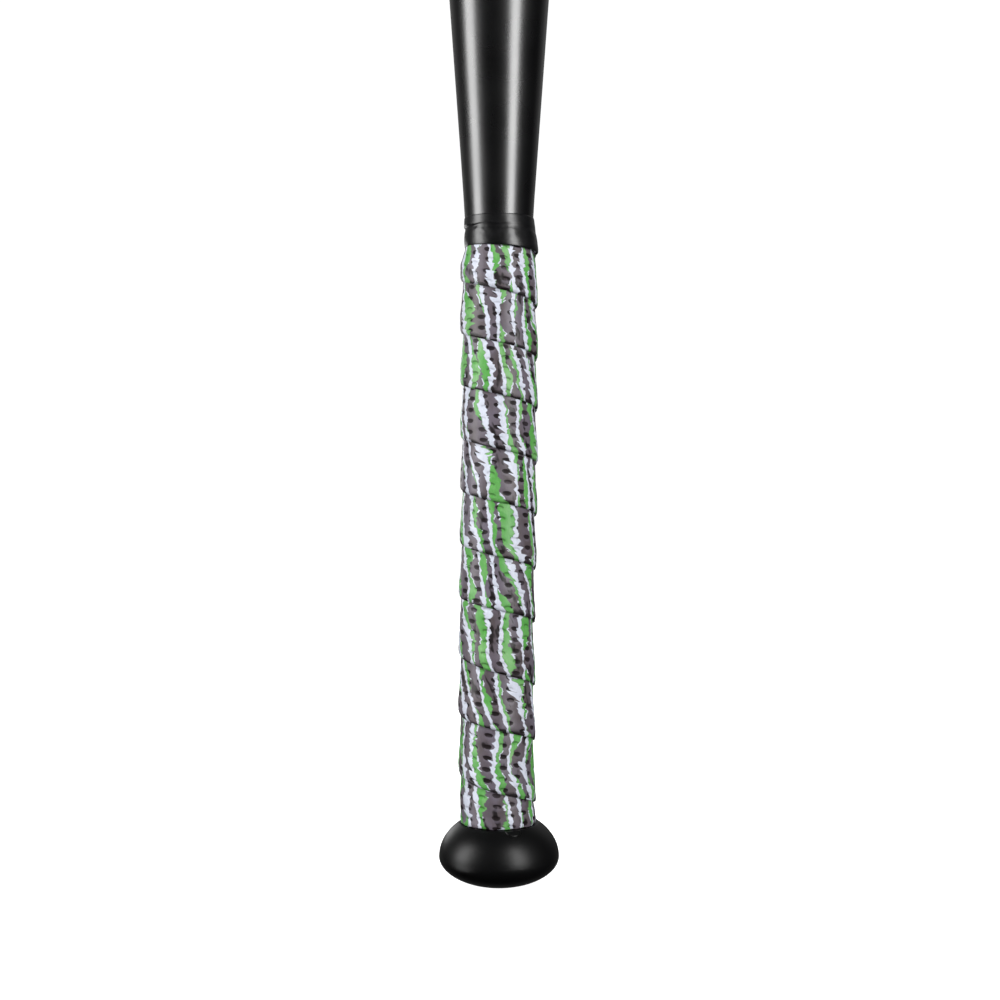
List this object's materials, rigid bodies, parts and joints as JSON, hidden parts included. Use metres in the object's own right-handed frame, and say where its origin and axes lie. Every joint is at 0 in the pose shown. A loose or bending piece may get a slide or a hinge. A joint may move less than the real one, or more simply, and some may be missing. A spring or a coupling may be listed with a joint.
{
  "type": "baseball bat",
  "caption": "One-piece alloy baseball bat: tapered tube with a rounded knob, spirally wound grip tape, finishing band and moulded end cap.",
  "frame": {"origin": "centre of the flat ring on the base of the knob", "axes": "+Z along the bat's axis, from the knob to the end cap; X and Y are radial"},
  "size_m": [0.0572, 0.0572, 0.762],
  "materials": {
    "satin_black_alloy": "satin",
    "matte_black_alloy": "matte",
    "black_rubber": "matte",
    "black_disc": "satin",
    "grey_rubber": "matte",
    "adhesive_film": "matte",
    "camouflage_tape": "matte",
    "black_vinyl": "gloss",
    "black_moulding": "satin",
    "urethane_bond": "satin"
  },
  "bodies": {
    "root": {"bat_tube": "satin_black_alloy", "knob": "matte_black_alloy", "knob_weld": "matte_black_alloy", "knob_plug": "black_rubber", "knob_disc": "black_disc", "handle_damper": "grey_rubber", "grip_adhesive": "adhesive_film", "grip_tape": "camouflage_tape", "finishing_band": "black_vinyl", "end_cap": "black_moulding", "cap_bond_ring": "urethane_bond"}
  },
  "joints": []
}
